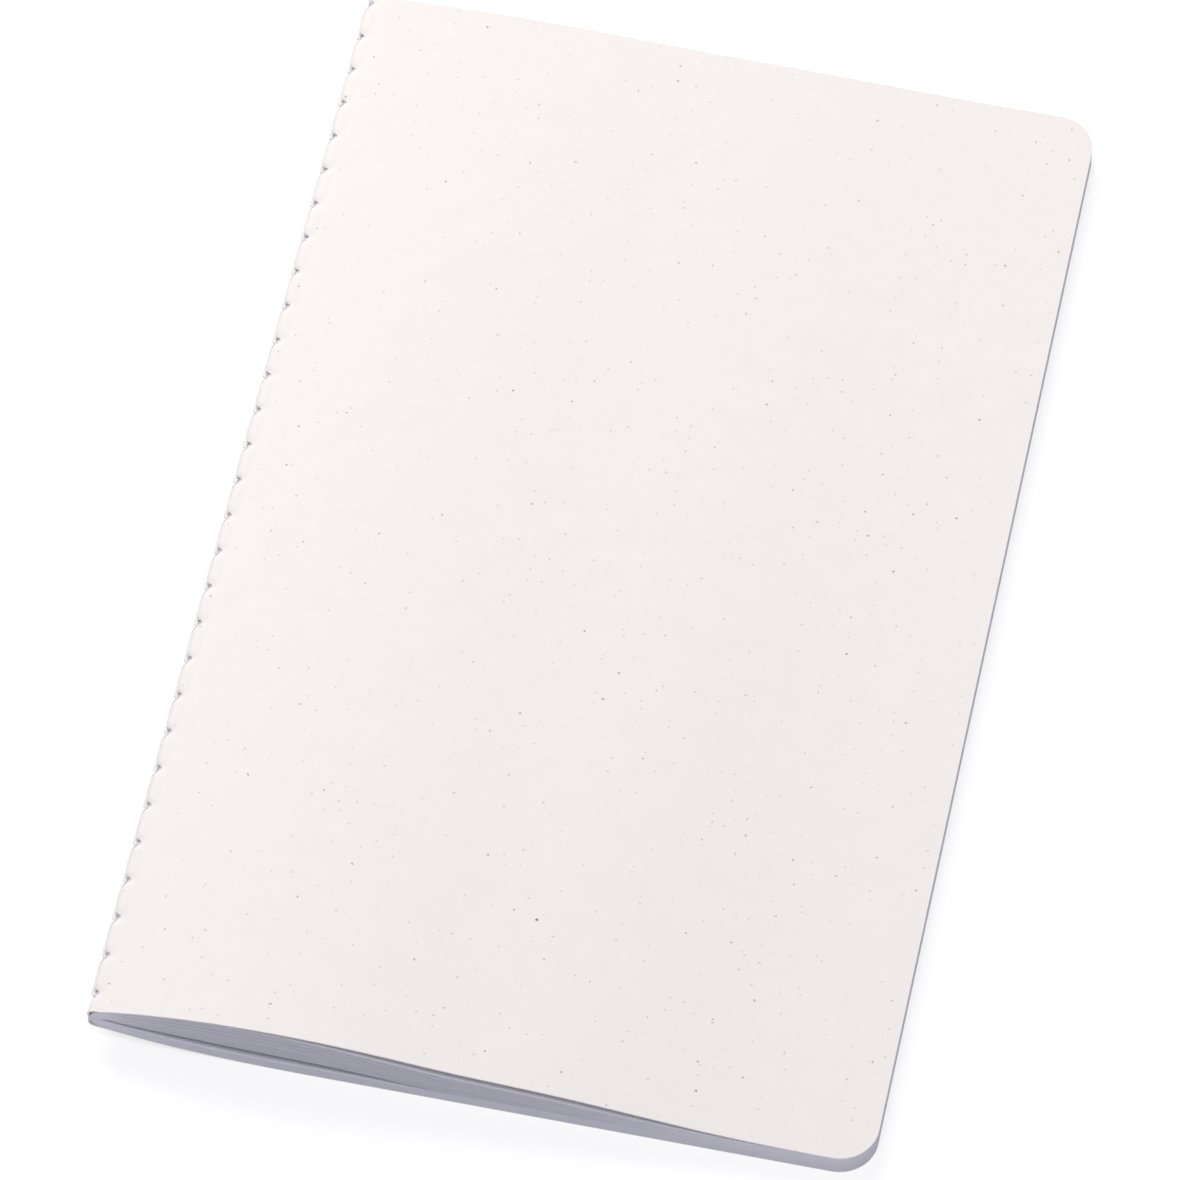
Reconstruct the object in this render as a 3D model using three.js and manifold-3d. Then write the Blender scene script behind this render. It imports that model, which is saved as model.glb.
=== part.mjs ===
// A thin softcover notebook of one sewn section, lying closed on its back cover.
// Folded sheets nest in a folded card cover, and a lock stitch of two threads runs along the fold.
// Built with X from the fold to the fore-edge, Y from tail to head and Z up, all in millimetres.
// A folded sheet bends at its fold, so it is parted there into a front leaf and a back leaf.
import * as THREE from 'three';
import { mergeVertices } from 'three/addons/utils/BufferGeometryUtils.js';
import Module from 'manifold-3d';

// Trimmed page
const PAGE_WIDTH = 130;
const PAGE_HEIGHT = 210;
const CORNER_RADIUS = 6.5;

// Card and paper
const SHEET_COUNT = 20;
const LEAF_THICKNESS = 0.09;
const LEAF_CLEARANCE = 0.01;
const COVER_THICKNESS = 0.3;

// Lock stitch along the fold
const OUTER_THREAD_RADIUS = 0.25;
const INNER_THREAD_RADIUS = 0.2;
const THREAD_CLEARANCE = 0.05;
const STITCH_COUNT = 28;
const STITCH_TAIL_MARGIN = 3.7;
const STITCH_HEAD_MARGIN = 1.2;
const THREAD_DIP = 0.35;
const DIP_SHARPNESS = 24;
const RING_CROWDING = 0.98;
const NEEDLE_HOLE_LENGTH = 1.5;
const NEEDLE_HOLE_ABOVE_FOLD = 0.75;
const NEEDLE_HOLE_BELOW_FOLD = 0.3;

// Fold: the two halves meet at the fold line with a hairline between them
const FOLD_LINE_GAP = 0.04;
const FOLD_SWEEP = THREE.MathUtils.degToRad(75);

// Front cover's crease, where the card bends when it opens alone
const CREASE_DISTANCE = 5;
const CREASE_GAP = 0.3;

// How the closed book springs: the fold stands off the table, more at the tail than at the head,
// and the back card curls up to it from the table, sharply at the tail and over a longer way at the head
const SPINE_LIFT_TAIL = 3.3;
const SPINE_LIFT_HEAD = 0.4;
const CURL_REACH_TAIL = 44;
const CURL_REACH_HEAD = 85;
const CURL_POWER = 3;

// Air held between the pages at the tail, and the share of it that is left at the head
const HEAD_AIR_SHARE = 0.25;
const AIR_CLIMB_POWER = 2.5;
const SPREAD_GAP = { height: 2.0, peak: 34, end: 66 };
const LEAF_FLUFF = { height: 4.95, peak: 38, end: 110 };
const COVER_GAP = { height: 1.7, start: 34, peak: 80, end: 122 };
const FLUFF_UNEVENNESS = 0.7;
const FLUFF_WAVES = 5;

// Fineness of the facets
const FOLD_STEPS = 5;
const PAGE_STEPS = 13;
const PAGE_STEP_GROWTH = 1.3;
const CORNER_STEPS = 4;
const THREAD_STEPS_PER_STITCH = 4;
const THREAD_SIDES = 6;
const HOLE_END_FACETS = 3;

// Worked out from the values above
const LEAF_PITCH = LEAF_THICKNESS + LEAF_CLEARANCE;
const HALF_THICKNESS = COVER_THICKNESS + SHEET_COUNT * LEAF_PITCH;
const INNER_FOLD_RADIUS = INNER_THREAD_RADIUS + THREAD_CLEARANCE;
const OUTER_FOLD_RADIUS = HALF_THICKNESS + INNER_FOLD_RADIUS;
const FOLD_CENTRE_X = OUTER_FOLD_RADIUS;
const FOLD_END_X = FOLD_CENTRE_X - OUTER_FOLD_RADIUS * Math.cos(FOLD_SWEEP);
const FIRST_PAGE_X = FOLD_CENTRE_X + OUTER_FOLD_RADIUS / 2;
const OUTER_THREAD_X = -OUTER_THREAD_RADIUS - THREAD_CLEARANCE;
const STITCH_LENGTH = (PAGE_HEIGHT - STITCH_TAIL_MARGIN - STITCH_HEAD_MARGIN) / STITCH_COUNT;

// Colours and finishes
const card = () => new THREE.MeshStandardMaterial({ color: 0xf3f1ee, roughness: 0.85, metalness: 0 });
const paper = () => new THREE.MeshStandardMaterial({ color: 0xf4f2f4, roughness: 0.9, metalness: 0 });
const yarn = () => new THREE.MeshStandardMaterial({ color: 0xe9e7e3, roughness: 0.7, metalness: 0 });

const wasm = await Module();
wasm.setup();

const { lerp, smoothstep } = THREE.MathUtils;

// Height of the fold's centre line above the table at a place along the spine
function foldHeight(y) {
  const lift = lerp(SPINE_LIFT_TAIL, SPINE_LIFT_HEAD, y / PAGE_HEIGHT);
  return lift + OUTER_FOLD_RADIUS + FOLD_LINE_GAP / 2;
}

// Underside of the back cover: flat on the table, curling up towards the fold
function undersideHeight(x, y) {
  const atFold = foldHeight(y) - FOLD_LINE_GAP / 2 - OUTER_FOLD_RADIUS * Math.sin(FOLD_SWEEP);
  const reach = lerp(CURL_REACH_TAIL, CURL_REACH_HEAD, y / PAGE_HEIGHT);
  const wayIn = Math.max(0, (reach - x) / (reach - FOLD_END_X));
  return atFold * wayIn ** CURL_POWER;
}

// Share of the tail's air that is left at a place along the page
function airShare(y) {
  return lerp(1, HEAD_AIR_SHARE, y / PAGE_HEIGHT);
}

// Air that opens quickly from the fold to its peak and closes slowly to its end
function airFromFold(pocket, x, y) {
  const climb = Math.min(1, Math.max(0, (pocket.peak - x) / (pocket.peak - FOLD_END_X)));
  const rise = 1 - climb ** AIR_CLIMB_POWER;
  const fall = 1 - smoothstep(x, pocket.peak, pocket.end);
  return pocket.height * airShare(y) * rise * fall;
}

// Gap at the middle spread: the inner fold's own width by the spine, then the air between the halves
function spreadGap(x, y) {
  const width = 2 * INNER_FOLD_RADIUS + FOLD_LINE_GAP;
  const fade = 1 - smoothstep(x, FOLD_END_X, SPREAD_GAP.end);
  return LEAF_CLEARANCE + (width - LEAF_CLEARANCE) * fade + airFromFold(SPREAD_GAP, x, y);
}

// Gap between the front cover and the first leaf
function coverGap(x, y) {
  const rise = smoothstep(x, COVER_GAP.start, COVER_GAP.peak);
  const fall = 1 - smoothstep(x, COVER_GAP.peak, COVER_GAP.end);
  return COVER_GAP.height * airShare(y) * rise * fall;
}

// Share of the front leaves' air that lies below a leaf, counted up from the innermost one.
// Leaves cling together in small groups, so the share grows in waves.
function fluffBelow(leafNumber) {
  const turn = (2 * Math.PI * FLUFF_WAVES * leafNumber) / SHEET_COUNT;
  const step = (2 * Math.PI * FLUFF_WAVES) / SHEET_COUNT;
  return (leafNumber - (FLUFF_UNEVENNESS * Math.sin(turn)) / step) / SHEET_COUNT;
}

// One skin of a leaf or cover: its radius in the fold and its height over the page.
// Its depth is how far it lies inside the cover's outer face.
function backSkin(depth) {
  return {
    side: -1,
    radius: OUTER_FOLD_RADIUS - depth,
    height: (x, y) => undersideHeight(x, y) + depth,
  };
}

function frontSkin(depth, air) {
  const paperBelow = 2 * HALF_THICKNESS - depth;
  return {
    side: 1,
    radius: OUTER_FOLD_RADIUS - depth,
    height: (x, y) => undersideHeight(x, y) + paperBelow + spreadGap(x, y) + air(x, y),
  };
}

// Depth of a leaf's outer face below the cover's outer face, for a sheet counted from the outside
function leafDepth(sheetNumber) {
  return COVER_THICKNESS + LEAF_CLEARANCE + (sheetNumber - 1) * LEAF_PITCH;
}

// Places along the page, from the first one past the fold to the fore-edge with its round corners
function pageStations() {
  const places = [];
  const straightEnd = PAGE_WIDTH - CORNER_RADIUS;
  for (let step = 0; step <= PAGE_STEPS; step += 1) {
    places.push(lerp(FIRST_PAGE_X, straightEnd, (step / PAGE_STEPS) ** PAGE_STEP_GROWTH));
  }
  for (let step = 1; step <= CORNER_STEPS; step += 1) {
    places.push(straightEnd + CORNER_RADIUS * Math.sin((step / CORNER_STEPS) * Math.PI / 2));
  }
  return places;
}

// How far the tail and head edges stand in from the page's ends at a place along its width
function cornerInset(x) {
  const intoCorner = Math.max(0, x - (PAGE_WIDTH - CORNER_RADIUS));
  return CORNER_RADIUS - Math.sqrt(Math.max(0, CORNER_RADIUS ** 2 - intoCorner ** 2));
}

// Points of a skin at its tail and head ends: first round the fold, then over the page stations
function foldPoints(skin) {
  const points = [];
  for (let step = 0; step <= FOLD_STEPS; step += 1) {
    const angle = (FOLD_SWEEP * step) / FOLD_STEPS;
    points.push([0, PAGE_HEIGHT].map((y) => new THREE.Vector3(
      FOLD_CENTRE_X - skin.radius * Math.cos(angle),
      y,
      foldHeight(y) + skin.side * (FOLD_LINE_GAP / 2 + skin.radius * Math.sin(angle)),
    )));
  }
  return points;
}

function pagePoints(skin, stations) {
  return stations.map((x) => {
    const inset = cornerInset(x);
    return [inset, PAGE_HEIGHT - inset].map((y) => new THREE.Vector3(x, y, skin.height(x, y)));
  });
}

// Closed body between an under skin and an over skin that have the same stations
function bodyBetween(under, over) {
  const positions = [];
  const place = [under, over].map((skin) => skin.map((ends) => ends.map((point) => {
    positions.push(point.x, point.y, point.z);
    return positions.length / 3 - 1;
  })));
  const [low, high] = place;
  const index = [];
  const quad = (a, b, c, d) => index.push(a, b, c, a, c, d);
  const last = low.length - 1;
  for (let i = 0; i < last; i += 1) {
    quad(high[i][0], high[i + 1][0], high[i + 1][1], high[i][1]);
    index.push(low[i][0], low[i + 1][1], low[i + 1][0], low[i][0], low[i][1], low[i + 1][1]);
    quad(low[i][0], low[i + 1][0], high[i + 1][0], high[i][0]);
    quad(low[i + 1][1], low[i][1], high[i][1], high[i + 1][1]);
  }
  quad(low[0][0], high[0][0], high[0][1], low[0][1]);
  quad(high[last][0], low[last][0], low[last][1], high[last][1]);
  const geometry = new THREE.BufferGeometry();
  geometry.setAttribute('position', new THREE.Float32BufferAttribute(positions, 3));
  geometry.setIndex(index);
  return geometry;
}

// A leaf or cover half from the fold line to the last station
function foldedBody(innerSkin, outerSkin, stations) {
  const skins = [innerSkin, outerSkin].map((skin) => [...foldPoints(skin), ...pagePoints(skin, stations)]);
  return outerSkin.side > 0 ? bodyBetween(skins[0], skins[1]) : bodyBetween(skins[1], skins[0]);
}

// Booleans
function toSolid(geometry) {
  const plain = geometry.clone();
  plain.deleteAttribute('normal');
  plain.deleteAttribute('uv');
  const merged = mergeVertices(plain, 1e-5);
  return new wasm.Manifold(new wasm.Mesh({
    numProp: 3,
    vertProperties: new Float32Array(merged.attributes.position.array),
    triVerts: new Uint32Array(merged.index.array),
  }));
}

function toGeometry(solid) {
  const mesh = solid.getMesh();
  const geometry = new THREE.BufferGeometry();
  geometry.setAttribute('position', new THREE.BufferAttribute(new Float32Array(mesh.vertProperties), 3));
  geometry.setIndex(new THREE.BufferAttribute(new Uint32Array(mesh.triVerts), 1));
  return geometry;
}

function stitchHoleY(number) {
  return STITCH_TAIL_MARGIN + number * STITCH_LENGTH;
}

// A slot through the card at each needle hole, its long way along the fold
function needleHoleCutter(y) {
  const height = NEEDLE_HOLE_ABOVE_FOLD + NEEDLE_HOLE_BELOW_FOLD;
  const straight = (NEEDLE_HOLE_LENGTH - height) / 2;
  const slot = new THREE.Shape();
  slot.absarc(straight, 0, height / 2, -Math.PI / 2, Math.PI / 2, false);
  slot.absarc(-straight, 0, height / 2, Math.PI / 2, (3 * Math.PI) / 2, false);
  const cutter = new THREE.ExtrudeGeometry(slot, {
    depth: COVER_THICKNESS + 2 * THREAD_CLEARANCE,
    bevelEnabled: false,
    curveSegments: HOLE_END_FACETS,
  });
  cutter.rotateX(Math.PI / 2);
  cutter.rotateZ(Math.PI / 2);
  const middle = foldHeight(y) + (NEEDLE_HOLE_ABOVE_FOLD - NEEDLE_HOLE_BELOW_FOLD) / 2;
  cutter.translate(-THREAD_CLEARANCE, y, middle);
  return cutter;
}

function withNeedleHoles(geometry) {
  let solid = toSolid(geometry);
  for (let number = 0; number <= STITCH_COUNT; number += 1) {
    solid = solid.subtract(toSolid(needleHoleCutter(stitchHoleY(number))));
  }
  return toGeometry(solid);
}

// A sewn thread: straight between the needle holes, dipping towards the pages at each one.
// Its rings crowd round the holes, so the curve keeps its own spacing instead of an even one.
class SewnThread extends THREE.Curve {
  constructor(x, dip) {
    super();
    this.x = x;
    this.dip = dip;
  }

  getPoint(t, target = new THREE.Vector3()) {
    const even = t * STITCH_COUNT;
    const stitch = even - (RING_CROWDING * Math.sin(2 * Math.PI * even)) / (2 * Math.PI);
    const nearHole = ((1 + Math.cos(2 * Math.PI * stitch)) / 2) ** DIP_SHARPNESS;
    const y = stitchHoleY(stitch);
    return target.set(this.x + this.dip * nearHole, y, foldHeight(y));
  }

  getPointAt(t, target) {
    return this.getPoint(t, target);
  }

  getTangentAt(t, target) {
    return this.getTangent(t, target);
  }
}

function threadBody(x, radius, dip) {
  const section = new THREE.Shape();
  for (let side = 0; side < THREAD_SIDES; side += 1) {
    const angle = (2 * Math.PI * side) / THREAD_SIDES;
    const corner = [radius * Math.cos(angle), radius * Math.sin(angle)];
    if (side === 0) section.moveTo(...corner);
    else section.lineTo(...corner);
  }
  section.closePath();
  const path = new SewnThread(x, dip);
  return new THREE.ExtrudeGeometry(section, {
    extrudePath: path,
    steps: STITCH_COUNT * THREAD_STEPS_PER_STITCH,
    bevelEnabled: false,
  });
}

const notebook = new THREE.Group();
notebook.name = 'notebook';

function addPiece(name, geometry, material) {
  const mesh = new THREE.Mesh(geometry, material);
  mesh.name = name;
  notebook.add(mesh);
}

// Cover
const noAir = () => 0;
const stations = pageStations();
const creaseSides = [CREASE_DISTANCE - CREASE_GAP / 2, CREASE_DISTANCE + CREASE_GAP / 2];
const beforeCrease = [...stations.filter((x) => x < CREASE_DISTANCE - CREASE_GAP), creaseSides[0]];
const pastCrease = [creaseSides[1], ...stations.filter((x) => x > CREASE_DISTANCE + CREASE_GAP)];
const coverAir = (x, y) => airFromFold(LEAF_FLUFF, x, y) + coverGap(x, y);
const frontCoverSkins = [frontSkin(COVER_THICKNESS, coverAir), frontSkin(0, coverAir)];
const backCoverSkins = [backSkin(COVER_THICKNESS), backSkin(0)];

addPiece('cover_back', withNeedleHoles(foldedBody(...backCoverSkins, stations)), card());
addPiece('cover_front_fold', withNeedleHoles(foldedBody(...frontCoverSkins, beforeCrease)), card());
addPiece(
  'cover_front',
  bodyBetween(pagePoints(frontCoverSkins[0], pastCrease), pagePoints(frontCoverSkins[1], pastCrease)),
  card(),
);

// Sheets, counted from the outermost
for (let sheet = 1; sheet <= SHEET_COUNT; sheet += 1) {
  const label = `sheet_${String(sheet).padStart(2, '0')}`;
  const depth = leafDepth(sheet);
  const share = fluffBelow(SHEET_COUNT - sheet);
  const leafAir = (x, y) => share * airFromFold(LEAF_FLUFF, x, y);
  const front = [frontSkin(depth + LEAF_THICKNESS, leafAir), frontSkin(depth, leafAir)];
  const back = [backSkin(depth + LEAF_THICKNESS), backSkin(depth)];
  addPiece(`${label}_front_leaf`, foldedBody(...front, stations), paper());
  addPiece(`${label}_back_leaf`, foldedBody(...back, stations), paper());
}

// Threads
addPiece('thread_outer', threadBody(OUTER_THREAD_X, OUTER_THREAD_RADIUS, THREAD_DIP), yarn());
addPiece('thread_inner', threadBody(FOLD_CENTRE_X, INNER_THREAD_RADIUS, 0), yarn());

// The origin is on the table, under the middle of the book and its thread
const threadFace = OUTER_THREAD_X - OUTER_THREAD_RADIUS;
notebook.position.set(-(PAGE_WIDTH + threadFace) / 2, -PAGE_HEIGHT / 2, 0);
notebook.updateMatrixWorld(true);

export default notebook;
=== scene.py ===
import math

import bpy
import numpy as np
from mathutils import Matrix


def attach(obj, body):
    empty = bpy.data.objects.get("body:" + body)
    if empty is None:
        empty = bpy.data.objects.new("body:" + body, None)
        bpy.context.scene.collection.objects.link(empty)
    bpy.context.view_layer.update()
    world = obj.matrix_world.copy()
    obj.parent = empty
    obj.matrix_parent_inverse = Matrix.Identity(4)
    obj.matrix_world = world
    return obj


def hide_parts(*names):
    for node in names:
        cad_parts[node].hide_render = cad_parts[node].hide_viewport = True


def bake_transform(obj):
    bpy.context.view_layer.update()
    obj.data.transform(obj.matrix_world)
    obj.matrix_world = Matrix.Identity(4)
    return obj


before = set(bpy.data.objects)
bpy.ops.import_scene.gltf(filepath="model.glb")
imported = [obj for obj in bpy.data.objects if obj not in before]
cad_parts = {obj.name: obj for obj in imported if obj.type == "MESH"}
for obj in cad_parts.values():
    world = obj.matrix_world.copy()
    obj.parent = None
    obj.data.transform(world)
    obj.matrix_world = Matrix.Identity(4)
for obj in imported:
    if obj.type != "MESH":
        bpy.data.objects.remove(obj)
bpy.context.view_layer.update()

# Sheets: twenty sheets of uncoated white paper, each folded once and laid inside the one before.
# The folds spring open, so the leaves hold air, more at the tail than at the head.
# The block is trimmed on three sides, and its two fore-edge corners are cut round.
page_width, page_height, corner_radius = 130.0, 210.0, 6.5
sheet_count, leaf_thickness, leaf_pitch = 20, 0.09, 0.10
card_thickness, inner_fold_radius = 0.3, 0.25
leaf_room = 0.01
fold_line_gap, fold_sweep = 0.04, math.radians(75)
half_thickness = card_thickness + sheet_count * leaf_pitch
fold_radius = half_thickness + inner_fold_radius
fold_end = fold_radius * (1 - math.cos(fold_sweep))
spine_lift_tail, spine_lift_head = 3.3, 0.4
curl_reach_tail, curl_reach_head = 44.0, 85.0
thread_face = -0.55
to_middle = np.array([-(page_width + thread_face) / 2, -page_height / 2, 0.0])


def ease(x, low, high):
    """0 up to low, 1 from high on, and between them three times the square less twice the cube."""
    t = np.clip((x - low) / (high - low), 0, 1)
    return t * t * (3 - 2 * t)


def fold_height(y):
    """Height of the fold's centre line: the radius over a line from the tail's lift to the head's."""
    lift = spine_lift_tail + (spine_lift_head - spine_lift_tail) * y / page_height
    return lift + fold_radius + fold_line_gap / 2


def underside(x, y):
    """The back card's height: zero on the table, rising with the cube of the way in towards the fold.
    The curl reaches further from the fold at the head than at the tail."""
    at_fold = fold_height(y) - fold_line_gap / 2 - fold_radius * math.sin(fold_sweep)
    reach = curl_reach_tail + (curl_reach_head - curl_reach_tail) * y / page_height
    way_in = np.maximum(0, (reach - x) / (reach - fold_end))
    return at_fold * way_in**3


air_left_at_head = 0.25


def left_at(y):
    """The share of the tail's air that is left this far along: a straight line down to the head's."""
    return 1 - (1 - air_left_at_head) * y / page_height


def air(height, peak, end, x, y):
    """Air that opens fast from the fold to its peak, then eases to nothing at its end."""
    climb = np.clip((peak - x) / (peak - fold_end), 0, 1)
    return height * left_at(y) * (1 - climb**2.5) * (1 - ease(x, peak, end))


spread_height, spread_peak, spread_end = 2.0, 34.0, 66.0


def spread_gap(x, y):
    """The gap at the middle spread: the inner fold's width, fading out, plus the air between the halves."""
    width = 2 * inner_fold_radius + fold_line_gap
    fade = 1 - ease(x, fold_end, spread_end)
    air_between = air(spread_height, spread_peak, spread_end, x, y)
    return leaf_room + (width - leaf_room) * fade + air_between


leaves_height, leaves_peak, leaves_end = 4.95, 38.0, 110.0
spring_height, spring_start, spring_peak, spring_end = 1.7, 34.0, 80.0, 122.0


def cover_air(x, y):
    """All the air under the front cover: what the leaves hold, and the cover's own spring over them."""
    rise, fall = ease(x, spring_start, spring_peak), 1 - ease(x, spring_peak, spring_end)
    spring = spring_height * left_at(y) * rise * fall
    return air(leaves_height, leaves_peak, leaves_end, x, y) + spring


slot_start, slot_full = 12.0, 60.0


def leaf_air(x, y):
    """The air between the front leaves: the cover's air without the slot under the cover, which opens
    early from the fold and closes towards the fore-edge."""
    rise, fall = ease(x, slot_start, slot_full), 1 - ease(x, spring_peak, spring_end)
    return cover_air(x, y) - spring_height * left_at(y) * rise * fall


leaf_groups, cling = 5, 0.7


def share_below(leaf):
    """The part of that air under a leaf, counted from the innermost: it grows in five waves,
    because the leaves cling together in groups."""
    step = 2 * math.pi * leaf_groups / sheet_count
    return (leaf - cling * math.sin(step * leaf) / step) / sheet_count


def back_height(depth):
    """A back skin lies its own depth over the cover's underside."""
    return lambda x, y: underside(x, y) + depth


def front_height(depth, held):
    """A front skin lies over all the paper below it, the middle gap and the air held below it."""
    return lambda x, y: underside(x, y) + 2 * half_thickness - depth + spread_gap(x, y) + held(x, y)


def page_places(steps, corner_steps, first):
    """Places across the page: closer near the fold, and even by angle round the cut corner."""
    straight = page_width - corner_radius
    page = first + (straight - first) * (np.arange(steps + 1) / steps) ** 1.3
    turned = np.arange(1, corner_steps + 1) / corner_steps * math.pi / 2
    corner = straight + corner_radius * np.sin(turned)
    return np.concatenate([page, corner])


def folded_skin(side, depth, height, page, along, fold_steps=16, bridge_steps=8):
    """Points of one skin, across by along: an arc from the fold line round to the sweep's end, its points
    closer at first, then a cubic curve that leaves along the arc and meets the page's slope, then the
    page's own height. The ends stand in by a quarter circle where the corner is cut."""
    radius = fold_radius - depth
    angle = fold_sweep * (np.arange(fold_steps + 1)[:, None] / fold_steps) ** 1.5
    y = (along * page_height)[None, :]
    level = fold_height(y)
    arc_x = fold_radius - radius * np.cos(angle) + 0 * y
    arc_z = level + side * (fold_line_gap / 2 + radius * np.sin(angle))
    x0, z0, x1 = arc_x[-1:], arc_z[-1:], page[0]
    z1 = height(x1, y)
    slope = (height(x1 + 0.05, y) - height(x1 - 0.05, y)) / 0.1
    t = (np.arange(1, bridge_steps) / bridge_steps)[:, None]
    run = x1 - x0
    leave, arrive = t * (1 - t) ** 2, t * t * (t - 1)
    away, near = 1 - t * t * (3 - 2 * t), t * t * (3 - 2 * t)
    bridge_x = away * x0 + near * x1 + run * (leave + arrive)
    bridge_z = away * z0 + near * z1 + run * (leave * side / math.tan(fold_sweep) + arrive * slope)
    into = np.maximum(0, page - (page_width - corner_radius))[:, None]
    inset = corner_radius - np.sqrt(np.maximum(0, corner_radius**2 - into**2))
    page_y = inset + along[None, :] * (page_height - 2 * inset)
    page_x = page[:, None] + 0 * page_y
    page_z = height(page_x, page_y)
    x = np.concatenate([arc_x, bridge_x, page_x])
    z = np.concatenate([arc_z, bridge_z, page_z])
    y = np.concatenate([y + 0 * arc_x, y + 0 * bridge_x, page_y])
    return np.stack([x, y, z], -1)


def closed_mesh(name, upper, lower, missing=None, start=0.0, way=1):
    """A closed sheet between two skins on one grid: the upper skin's cells, the lower skin's turned over,
    and a wall on every grid edge that has a cell on one side only. Missing cells leave holes.
    Its UV map is in metres: the way across along the skin from a start, and the way along the fold.
    The lower skin's map lies half a metre off, so its pattern differs, and the walls add their thickness."""
    rows, columns = upper.shape[:2]
    index = np.arange(rows * columns).reshape(rows, columns)
    below = rows * columns
    kept = np.pad(np.ones((rows - 1, columns - 1), bool) if missing is None else ~missing, 1)
    cells = kept[1:-1, 1:-1]
    a, b = index[:-1, :-1][cells], index[1:, :-1][cells]
    c, d = index[1:, 1:][cells], index[:-1, 1:][cells]
    faces = [np.stack([a, b, c, d], 1), np.stack([d, c, b, a], 1) + below]
    upper_count, cell_count = len(faces[0]), 2 * len(faces[0])
    first, second = index[:-1, :], index[1:, :]
    before, after = kept[1:-1, :-1], kept[1:-1, 1:]
    for tail, head, side in ((second, first, after & ~before), (first, second, before & ~after)):
        p, q = tail[side], head[side]
        faces.append(np.stack([p, q, q + below, p + below], 1))
    first, second = index[:, :-1], index[:, 1:]
    before, after = kept[:-1, 1:-1], kept[1:, 1:-1]
    for tail, head, side in ((first, second, after & ~before), (second, first, before & ~after)):
        p, q = tail[side], head[side]
        faces.append(np.stack([p, q, q + below, p + below], 1))
    faces = np.concatenate(faces)
    step = np.linalg.norm(np.diff(upper[:, :, ::2], axis=0), axis=-1).mean(1)
    across = start + way * np.concatenate([[0], np.cumsum(step)])[:, None] + 0 * upper[:, :, 1]
    flat = np.stack([across, upper[:, :, 1]], -1).reshape(-1, 2) / 1000
    corners = flat[faces % below]
    lower_apart, wall_apart = 0.5, 0.0003
    corners[upper_count:cell_count] += [lower_apart, 0.0]
    corners[cell_count:][faces[cell_count:] >= below] += [wall_apart, wall_apart]
    points = (np.concatenate([upper.reshape(-1, 3), lower.reshape(-1, 3)]) + to_middle) / 1000
    used, faces = np.unique(faces, return_inverse=True)
    faces = faces.reshape(-1, 4)
    mesh = bpy.data.meshes.new(name)
    mesh.from_pydata(points[used].tolist(), [], faces.tolist())
    layer = mesh.uv_layers.new(name="surface")
    layer.data.foreach_set("uv", corners.astype(np.float32).ravel())
    mesh.polygons.foreach_set("use_smooth", np.ones(len(faces), bool))
    mesh.set_sharp_from_angle(angle=math.radians(40))
    piece = bpy.data.objects.new(name, mesh)
    bpy.context.scene.collection.objects.link(piece)
    return piece


def node_maker(material):
    """Adds nodes to a material: a function of the node's type, its settings and its inputs."""
    material.use_nodes = True
    tree = material.node_tree

    def add(kind, settings=None, **inputs):
        node = tree.nodes.new(kind)
        for key, value in (settings or {}).items():
            setattr(node, key, value)
        for key, value in inputs.items():
            socket = node.inputs[int(key[1:])] if key[1:].isdigit() else node.inputs[key.replace("_", " ")]
            if isinstance(value, bpy.types.NodeSocket):
                tree.links.new(value, socket)
            else:
                socket.default_value = value
        return node

    return tree, tree.nodes["Principled BSDF"], add


def mixed(add, share, low, high, **settings):
    """A colour between two others, by a share."""
    return add("ShaderNodeMix", {"data_type": "RGBA", **settings}, i0=share, i6=low, i7=high).outputs[2]


paper = bpy.data.materials.new("uncoated_paper")
tree, shader, add = node_maker(paper)
shader.inputs["Roughness"].default_value = 0.9
shader.inputs["Specular IOR Level"].default_value = 0.25
where = add("ShaderNodeTexCoord").outputs["UV"]
# Each leaf's map stands a metre from the next one's, so this slow noise gives every leaf a tone of its own:
# painted light, standing in for the light lines where groups of leaves part at the tail
painted_leaf_light = add("ShaderNodeTexNoise", Vector=where, Scale=1.7, Detail=1.0)
spread = add("ShaderNodeMapRange", i0=painted_leaf_light.outputs["Fac"], i1=0.35, i2=0.65)
# The cool lilac tint of both tones is partly the paper's own white and partly painted shade, for the lilac
# of the shaded tail
tone = mixed(add, spread.outputs[0], (0.80, 0.80, 0.85, 1), (0.89, 0.89, 0.93, 1))
tree.links.new(tone, shader.inputs["Base Color"])
tooth = add("ShaderNodeTexNoise", Vector=where, Scale=2600.0, Detail=3.0)
relief = add("ShaderNodeBump", Strength=0.12, Distance=0.00003, Height=tooth.outputs["Fac"])
tree.links.new(relief.outputs["Normal"], shader.inputs["Normal"])

leaf_page_start = 6.0
leaf_places = page_places(30, 8, leaf_page_start)
leaf_along = np.linspace(0, 1, 21)
pattern_step = 1000.0
for sheet in range(1, sheet_count + 1):
    outside = card_thickness + leaf_room + (sheet - 1) * leaf_pitch
    inside = outside + leaf_thickness
    share = share_below(sheet_count - sheet)
    held = lambda x, y, share=share: share * leaf_air(x, y)
    upper, lower = (
        folded_skin(1, depth, front_height(depth, held), leaf_places, leaf_along)
        for depth in (outside, inside)
    )
    front = closed_mesh(f"paper_{sheet:02d}_front", upper, lower, start=pattern_step * sheet)
    upper, lower = (
        folded_skin(-1, depth, back_height(depth), leaf_places, leaf_along)
        for depth in (inside, outside)
    )
    back = closed_mesh(f"paper_{sheet:02d}_back", upper, lower, start=-pattern_step * sheet)
    for side, leaf in (("front", front), ("back", back)):
        leaf.data.materials.append(paper)
        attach(leaf, "front_block" if (sheet, side) == (1, "front") else f"leaf_{sheet:02d}_{side}")
        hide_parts(f"sheet_{sheet:02d}_{side}_leaf")
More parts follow.
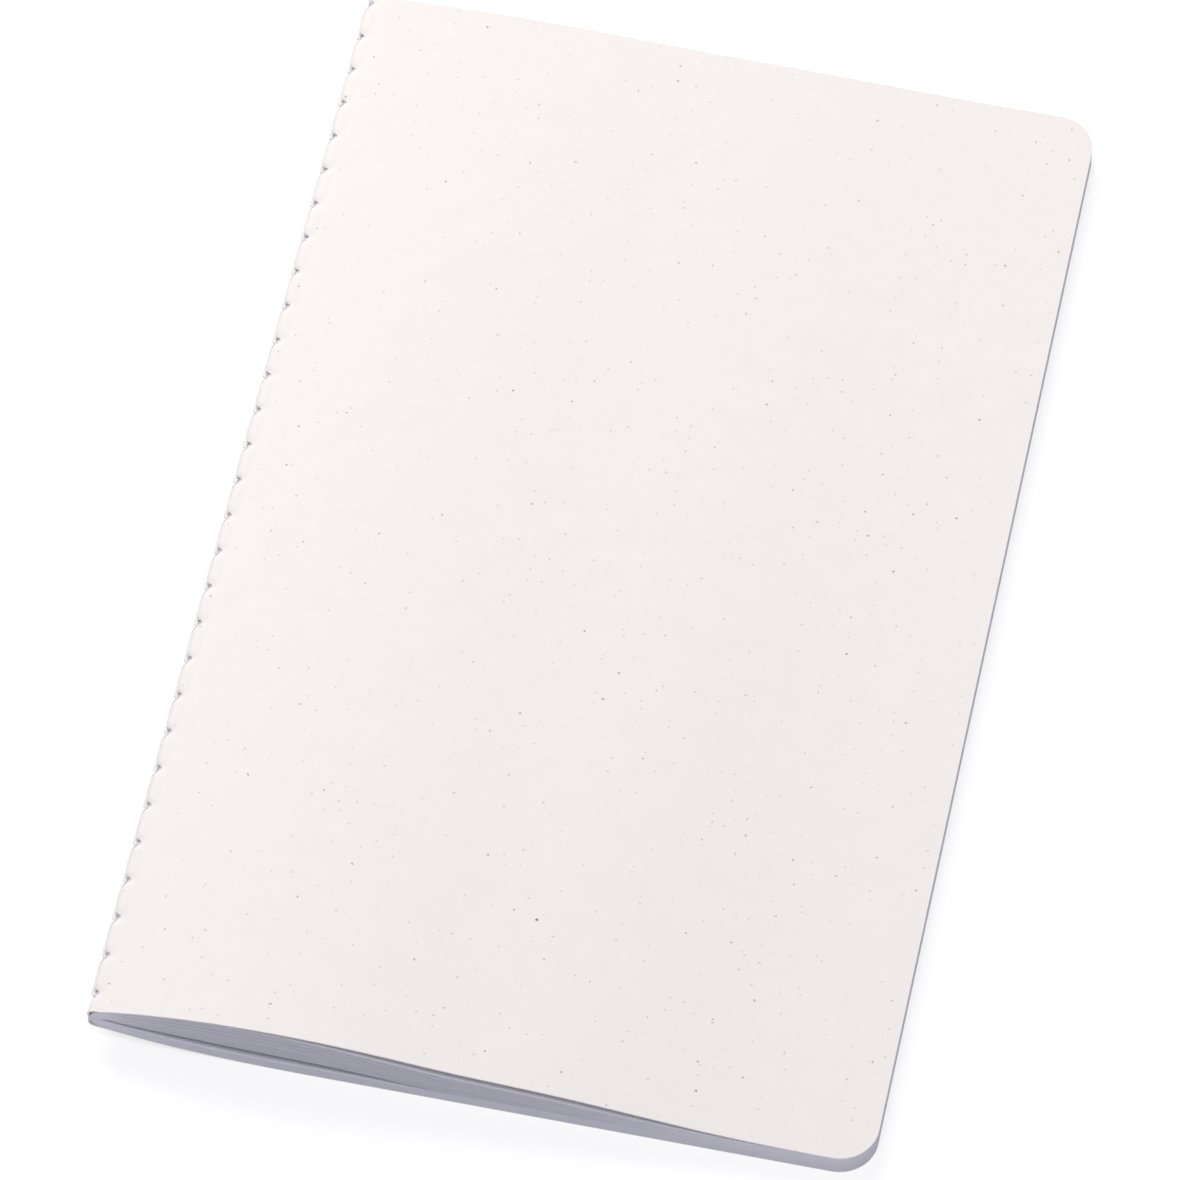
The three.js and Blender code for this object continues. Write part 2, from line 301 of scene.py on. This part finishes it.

# Cover: one piece of off-white speckled card, folded round the outermost sheet and sewn with it.
# The front's card has closer steps round a crease 5 mm from the fold. The stitching draws the card in
# at every needle hole, and it stands proud between them.
stitch_count, tail_margin, head_margin = 28, 3.7, 1.2
stitch_length = (page_height - tail_margin - head_margin) / stitch_count
hole_length, hole_top, hole_foot, hole_within = 2.1, 2.2, 0.3, 1.5
swell_height, swell_middle, swell_reach = 0.5, 1.65, 0.95
groove_start, groove_end, swell_fade_start, swell_fade_end = 0.2, 1.4, 0.9, 2.9
dimple_reach = 1.0


def stitch_phase(y):
    """Counts stitches along the fold, whole at each needle hole."""
    return (y - tail_margin) / stitch_length


def puckered(skin):
    """Pushes a skin outwards from the fold's centre, by a bump round the fold that leaves a groove for the
    thread at the fold line. A bell-shaped dimple at each hole takes the bump away."""
    x, y, z = skin[..., 0], skin[..., 1], skin[..., 2]
    above = z - fold_height(y)
    off_hole = np.abs(stitch_phase(y) - np.round(stitch_phase(y))) * stitch_length
    clear = 1 - np.exp(-((off_hole / dimple_reach) ** 2))
    bump = np.exp(-(((np.abs(above) - swell_middle) / swell_reach) ** 2))
    bump = bump * ease(np.abs(above), groove_start, groove_end)
    bump = bump * (1 - ease(x, swell_fade_start, swell_fade_end))
    toward = np.stack([x - fold_radius, 0 * y, above], -1)
    toward /= np.maximum(np.linalg.norm(toward, axis=-1, keepdims=True), 1e-6)
    return skin + (swell_height * clear * bump)[..., None] * toward


def fine_along(per_stitch, crowding=0.7):
    """Shares along the fold, with both trimmed ends: in each stitch even steps less a sine, so that they
    crowd round the needle holes."""
    even = np.arange(stitch_count * per_stitch + 1) / per_stitch
    stitch = even - crowding * np.sin(2 * math.pi * even) / (2 * math.pi)
    places = tail_margin + stitch * stitch_length
    tail_end = np.linspace(0, places[0], 9)[:-1]
    head_end = np.linspace(places[-1], page_height, 5)[1:]
    return np.concatenate([tail_end, places, head_end]) / page_height


def card_skin(side, depth, page, along, **steps):
    """A skin of the card: on the front it lies over all the air."""
    height = front_height(depth, cover_air) if side > 0 else back_height(depth)
    return folded_skin(side, depth, height, page, along, **steps)


def flecks(add, where, colour, crowd, spacing, size, rarity, strength, fleck):
    """Lays flecks over a colour: one in each cell of a loose grid (spacing in mm), kept where the cell's
    own number and the crowding pass the rarity, with a size (mm) and a strength between two ends.
    The places are bent by a fine noise, so no fleck is round."""
    scale = 1000.0 / spacing
    bend = add("ShaderNodeTexNoise", {"noise_dimensions": "2D"}, Vector=where, Scale=4000.0)
    bent = mixed(add, 0.0003, where, bend.outputs["Color"], blend_type="LINEAR_LIGHT")
    cells = add("ShaderNodeTexVoronoi", {"voronoi_dimensions": "2D"}, Vector=bent, Scale=scale)
    number = add("ShaderNodeSeparateColor", Color=cells.outputs["Color"])
    crowded = add("ShaderNodeMath", {"operation": "MULTIPLY_ADD"}, i0=crowd, i1=0.5, i2=number.outputs[0])
    chosen = add("ShaderNodeMath", {"operation": "GREATER_THAN"}, i0=crowded.outputs[0], i1=rarity + 0.25)
    smallest, largest = size[0] / spacing / 2, size[1] / spacing / 2
    reach = add("ShaderNodeMapRange", i0=number.outputs[1], i3=smallest, i4=largest)
    edge = add("ShaderNodeMath", {"operation": "DIVIDE"}, i0=cells.outputs["Distance"], i1=reach.outputs[0])
    inside = add("ShaderNodeMapRange", i0=edge.outputs[0], i1=0.75, i2=1.25, i3=1.0, i4=0.0)
    depth = add("ShaderNodeMapRange", i0=number.outputs[2], i3=strength[0], i4=strength[1])
    both = add("ShaderNodeMath", {"operation": "MULTIPLY"}, i0=chosen.outputs[0], i1=inside.outputs[0])
    share = add("ShaderNodeMath", {"operation": "MULTIPLY"}, i0=both.outputs[0], i1=depth.outputs[0])
    return mixed(add, share.outputs[0], colour, fleck)


card = bpy.data.materials.new("speckled_card")
tree, shader, add = node_maker(card)
shader.inputs["Roughness"].default_value = 0.85
shader.inputs["Specular IOR Level"].default_value = 0.3
where = add("ShaderNodeTexCoord").outputs["UV"]
cloud = add("ShaderNodeTexNoise", Vector=where, Scale=160.0, Detail=6.0)
spread = add("ShaderNodeMapRange", i0=cloud.outputs["Fac"], i1=0.3, i2=0.7)
colour = mixed(add, spread.outputs[0], (0.930, 0.906, 0.850, 1), (0.944, 0.921, 0.866, 1))
crowd = add("ShaderNodeTexNoise", Vector=where, Scale=45.0, Detail=2.0).outputs["Fac"]
colour = flecks(add, where, colour, crowd, 1.5, (0.12, 0.28), 0.66, (0.06, 0.26), (0.40, 0.35, 0.31, 1))
colour = flecks(add, where, colour, crowd, 2.6, (0.16, 0.32), 0.72, (0.20, 0.60), (0.30, 0.26, 0.23, 1))
colour = flecks(add, where, colour, crowd, 7.0, (0.22, 0.40), 0.74, (0.45, 0.80), (0.20, 0.17, 0.15, 1))
colour = flecks(add, where, colour, crowd, 40.0, (0.30, 0.48), 0.85, (0.75, 0.95), (0.07, 0.06, 0.055, 1))
tree.links.new(colour, shader.inputs["Base Color"])
tooth = add("ShaderNodeTexNoise", Vector=where, Scale=1800.0, Detail=4.0)
relief = add("ShaderNodeBump", Strength=0.18, Distance=0.00005, Height=tooth.outputs["Fac"])
tree.links.new(relief.outputs["Normal"], shader.inputs["Normal"])

seam_back, seam_front, crease = 8.0, 4.0, 5.0
along_fold = fine_along(20)
to_back_seam = np.array([seam_back])
to_front_seam = np.array([seam_front])
outer, inner = (
    puckered(np.concatenate([
        card_skin(-1, depth, to_back_seam, along_fold, fold_steps=26, bridge_steps=12)[::-1],
        card_skin(1, depth, to_front_seam, along_fold, fold_steps=26, bridge_steps=10),
    ]))
    for depth in (0.0, card_thickness)
)
centre = (outer[1:, 1:] + outer[:-1, :-1]) / 2
above = centre[..., 2] - fold_height(centre[..., 1])
count = stitch_phase(centre[..., 1])
off_hole = np.abs(count - np.round(count)) * stitch_length
hole_middle, hole_reach = (hole_top + hole_foot) / 2, (hole_top - hole_foot) / 2
in_hole = (2 * off_hole / hole_length) ** 2 + ((above - hole_middle) / hole_reach) ** 2 < 1
in_hole &= (count > -0.5) & (count < stitch_count + 0.5) & (centre[..., 0] < hole_within)
spine_card = closed_mesh("spine_card", outer, inner, in_hole)
spine_card.data.materials.append(card)
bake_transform(spine_card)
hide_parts("cover_front_fold")

card_along = np.linspace(0, 1, 43)
fold_rows = 16 + 8
places = page_places(40, 12, seam_back)
flat_skins = [card_skin(-1, depth, places, card_along)[fold_rows:] for depth in (card_thickness, 0.0)]
back_card = closed_mesh("back_card", *flat_skins, way=-1)
crease_end = 6.4
places = np.concatenate([np.linspace(seam_front, crease_end, 13)[:-1], page_places(40, 12, crease_end)])
flat_skins = [card_skin(1, depth, places, card_along)[fold_rows:] for depth in (0.0, card_thickness)]
round_fold = float(np.linalg.norm(np.diff(outer, axis=0), axis=-1).sum(0).mean())
front_card = closed_mesh("front_card", *flat_skins, start=round_fold)
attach(back_card, "back_cover")
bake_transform(front_card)
for piece, node in ((back_card, "cover_back"), (front_card, "cover_front")):
    piece.data.materials.append(card)
    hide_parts(node)

# Threads: a lock stitch of two twisted natural-white threads. The outer one lies along the outside of
# the fold and dips into each needle hole, and the inner one lies along the innermost fold.
thread_plies, thread_lay, ply_depth = 3, 2.2, 0.2
dip_sharpness = 30


def sewn_thread(name, x, radius, dip, rise, pinch, rings_per_stitch=40, sides=18):
    """A tube along the stitches. At each hole its middle dips towards the pages and rises, and it grows
    thinner, all by a narrow power of a cosine. Its radius rises and falls once for each ply round the
    section, and that pattern turns along the thread."""
    stitch = np.arange(stitch_count * rings_per_stitch + 1) / rings_per_stitch
    y = tail_margin + stitch * stitch_length
    near_hole = ((1 + np.cos(2 * math.pi * stitch)) / 2) ** dip_sharpness
    middle = np.stack([x + dip * near_hole, y, fold_height(y) + rise * near_hole], -1)
    angle = np.linspace(0, 2 * math.pi, sides + 1)[:-1][None, :]
    turn = 2 * math.pi * y[:, None] / thread_lay
    swell = np.abs(np.cos((angle - turn) * thread_plies / 2))
    size = radius * (1 - ply_depth + ply_depth * swell**0.7) * (1 - pinch * near_hole[:, None])
    ring = middle[:, None, :] + np.stack([size * np.cos(angle), 0 * size, size * np.sin(angle)], -1)
    points = (np.concatenate([ring.reshape(-1, 3), middle[[0, -1]]]) + to_middle) / 1000
    index = np.arange(len(y) * sides).reshape(len(y), sides)
    side = np.roll(index, -1, 1)
    quads = np.stack([index[:-1], index[1:], side[1:], side[:-1]], -1).reshape(-1, 4)
    last = len(y) * sides
    tail_cap = np.stack([np.full(sides, last), index[0], side[0]], -1)
    head_cap = np.stack([np.full(sides, last + 1), side[-1], index[-1]], -1)
    mesh = bpy.data.meshes.new(name)
    mesh.from_pydata(points.tolist(), [], quads.tolist() + tail_cap.tolist() + head_cap.tolist())
    mesh.polygons.foreach_set("use_smooth", np.ones(len(mesh.polygons), bool))
    mesh.set_sharp_from_angle(angle=math.radians(60))
    piece = bpy.data.objects.new(name, mesh)
    bpy.context.scene.collection.objects.link(piece)
    return piece


twine = bpy.data.materials.new("twisted_thread")
tree, shader, add = node_maker(twine)
shader.inputs["Roughness"].default_value = 0.7
where = add("ShaderNodeTexCoord").outputs["Object"]
fibre = add("ShaderNodeTexNoise", Vector=where, Scale=5200.0, Detail=3.0)
tone = mixed(add, fibre.outputs["Fac"], (0.72, 0.71, 0.69, 1), (0.88, 0.87, 0.85, 1))
tree.links.new(tone, shader.inputs["Base Color"])
relief = add("ShaderNodeBump", Strength=0.3, Distance=0.00003, Height=fibre.outputs["Fac"])
tree.links.new(relief.outputs["Normal"], shader.inputs["Normal"])

outer_thread = sewn_thread("outer_thread", x=-0.25, radius=0.29, dip=0.5, rise=0.9, pinch=0.45)
inner_thread = sewn_thread("inner_thread", x=fold_radius, radius=0.2, dip=0.0, rise=0.0, pinch=0.0)
threads = (
    (outer_thread, "back_cover", "thread_outer"),
    (inner_thread, "leaf_20_back", "thread_inner"),
)
for piece, body, node in threads:
    piece.data.materials.append(twine)
    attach(piece, body)
    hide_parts(node)

# Table: a plain white sheet under the book, with a soft light behind its head, to the left, another
# over its tail and a faint lilac room.
mesh = bpy.data.meshes.new("table")
mesh.from_pydata([(-3, -3, 0), (3, -3, 0), (3, 3, 0), (-3, 3, 0)], [], [(0, 1, 2, 3)])
table = bpy.data.objects.new("table", mesh)
bpy.context.scene.collection.objects.link(table)
white = bpy.data.materials.new("white_table")
tree, shader, add = node_maker(white)
shader.inputs["Roughness"].default_value = 1.0
shader.inputs["Specular IOR Level"].default_value = 0.0
path = add("ShaderNodeLightPath")
either = {"operation": "ADD", "use_clamp": True}
seen = add("ShaderNodeMath", either, i0=path.outputs["Is Camera Ray"], i1=path.outputs["Is Glossy Ray"])
seen = add("ShaderNodeMath", either, i0=seen.outputs[0], i1=path.outputs["Is Transmission Ray"])
table_tone = mixed(add, seen.outputs[0], (0.8, 0.8, 0.8, 1), (0.4, 0.4, 0.4, 1))
tree.links.new(table_tone, shader.inputs["Base Color"])
glow = add("ShaderNodeMath", {"operation": "MULTIPLY"}, i0=seen.outputs[0], i1=0.7)
shader.inputs["Emission Color"].default_value = (1, 1, 1, 1)
tree.links.new(glow.outputs[0], shader.inputs["Emission Strength"])
mesh.materials.append(white)

world = bpy.data.worlds.new("studio")
bpy.context.scene.world = world
world.use_nodes = True
world.node_tree.nodes["Background"].inputs["Color"].default_value = (0.80, 0.79, 1.0, 1)
world.node_tree.nodes["Background"].inputs["Strength"].default_value = 0.35


def soft_light(name, position, size, watts, colour):
    """A square area light that looks at the middle of the book."""
    lamp = bpy.data.lights.new(name, "AREA")
    lamp.color = colour
    lamp.shape = "SQUARE"
    lamp.size = size
    lamp.energy = watts
    light = bpy.data.objects.new(name, lamp)
    light.location = position
    direction = -light.location.normalized()
    light.rotation_mode = "QUATERNION"
    light.rotation_quaternion = direction.to_track_quat("-Z", "Y")
    bpy.context.scene.collection.objects.link(light)


soft_light("key_light", (-0.5, 0.8, 0.95), 0.8, 11.6, (1.0, 0.975, 0.905))
soft_light("top_light", (0.0, -0.4, 1.35), 0.4, 5.6, (1.0, 0.98, 0.97))

# Camera: a long lens far off, beyond the tail and a little towards the fore-edge, looking down at 58
# degrees. It stands level, and is moved across and up so that the book lies in the frame as photographed.
lens_mm, distance, elevation, turn = 266.3, 1.474, math.radians(57.83), math.radians(11.8)
sensor_mm, frame_pixels = 36.0, 1180
moved_right, moved_up = 19.51, 17.82
pixel = sensor_mm / frame_pixels / lens_mm
level = math.cos(elevation)
ahead = np.array([-math.sin(turn) * level, math.cos(turn) * level, -math.sin(elevation)])
right = np.array([math.cos(turn), math.sin(turn), 0.0])
up = np.cross(right, ahead)
aim = np.array([(page_width / 2 + to_middle[0]) / 1000, 0, 0])
shift = right * moved_right * pixel * distance + up * moved_up * pixel * distance
place = aim - distance * ahead - shift
camera_data = bpy.data.cameras.new("camera")
camera_data.lens = lens_mm
camera_data.sensor_width = sensor_mm
camera = bpy.data.objects.new("camera", camera_data)
turned_and_placed = [[right[i], up[i], -ahead[i], place[i]] for i in range(3)]
camera.matrix_world = Matrix(turned_and_placed + [[0, 0, 0, 1]])
bpy.context.scene.collection.objects.link(camera)
bpy.context.scene.camera = camera
bpy.context.scene.view_settings.view_transform = "Standard"
